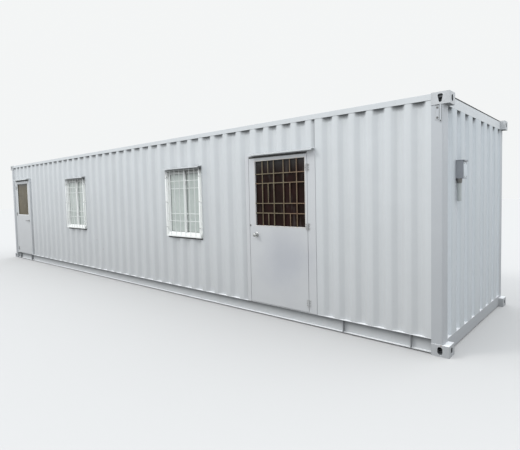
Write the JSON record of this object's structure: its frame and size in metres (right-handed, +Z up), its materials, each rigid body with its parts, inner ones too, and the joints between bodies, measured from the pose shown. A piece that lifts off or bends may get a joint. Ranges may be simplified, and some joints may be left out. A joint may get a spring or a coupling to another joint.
{
  "type": "shipping container cabin",
  "caption": "Corrugated steel shipping container fitted out as a cabin, with two outward-opening personnel doors, two sliding windows behind bar guards, sheet hoods and a cable inlet box.",
  "frame": {"origin": "centre of the plane through the lower faces of the four bottom corner castings, at ground level", "axes": "+X along the length towards the end with the inlet box, -Y out of the wall with the doors and windows, +Z up"},
  "size_m": [12.22, 2.509, 2.591],
  "materials": {
    "light_grey_paint": "satin light grey paint with shop dirt in the folds",
    "white_frame": "white powder coat",
    "white_bars": "brushed white paint",
    "window_glass": "clear with a pale reflection",
    "dark_glass": "dark tint",
    "bronze_glass": "bronze tint",
    "bronze_bars": "worn bronze paint",
    "bright_steel": "polished",
    "dull_steel": "satin",
    "hinge_steel": "grey paint over steel",
    "floor_plywood": "oiled plywood",
    "underbody_coat": "dark underbody coating",
    "grey_box": "matt grey",
    "conduit_plastic": "matt grey"
  },
  "bodies": {
    "root": {"top_corner_castings": "light_grey_paint", "bottom_corner_castings": "light_grey_paint", "corner_posts": "light_grey_paint", "top_side_rails": "light_grey_paint", "bottom_side_rails": "light_grey_paint", "end_headers": "light_grey_paint", "end_sills": "light_grey_paint", "right_end_wall": "light_grey_paint", "left_end_wall": "light_grey_paint", "back_wall": "light_grey_paint", "front_wall_left": "light_grey_paint", "front_wall_over_far_door": "light_grey_paint", "front_wall_far_window": "light_grey_paint", "front_wall_near_window": "light_grey_paint", "front_wall_over_near_door": "light_grey_paint", "front_wall_right": "light_grey_paint", "roof": "light_grey_paint", "roof_corner_plates": "light_grey_paint", "floor": "floor_plywood", "cross_members": "underbody_coat", "near_door_frame": "light_grey_paint", "near_door_frame_hinges": "hinge_steel", "near_door_hood": "light_grey_paint", "far_door_frame": "light_grey_paint", "far_door_frame_hinges": "hinge_steel", "far_door_hood": "light_grey_paint", "near_window_frame": "white_frame", "near_window_sashes": "white_frame", "near_window_glass": "window_glass", "near_window_guard": "white_bars", "near_window_hood": "light_grey_paint", "far_window_frame": "white_frame", "far_window_sashes": "white_frame", "far_window_glass": "window_glass", "far_window_guard": "white_bars", "far_window_hood": "light_grey_paint", "inlet_box": "grey_box", "inlet_conduit": "conduit_plastic", "lug_bracket": "light_grey_paint"},
    "near_door": {"near_door_leaf": "light_grey_paint", "near_door_grille": "bronze_bars", "near_door_glass": "dark_glass", "near_door_knob": "bright_steel", "near_door_leaf_hinges": "hinge_steel"},
    "far_door": {"far_door_leaf": "light_grey_paint", "far_door_glass": "bronze_glass", "far_door_lever": "dull_steel", "far_door_leaf_hinges": "hinge_steel"}
  },
  "joints": [
    {"name": "near_door_hinge", "type": "hinge", "parent": "root", "child": "near_door", "pos_m": [4.401, -1.225, 1.16], "axis": [0, 0, 1], "range_deg": [0, 160]},
    {"name": "far_door_hinge", "type": "hinge", "parent": "root", "child": "far_door", "pos_m": [-5.738, -1.225, 1.16], "axis": [0, 0, -1], "range_deg": [0, 160]}
  ]
}
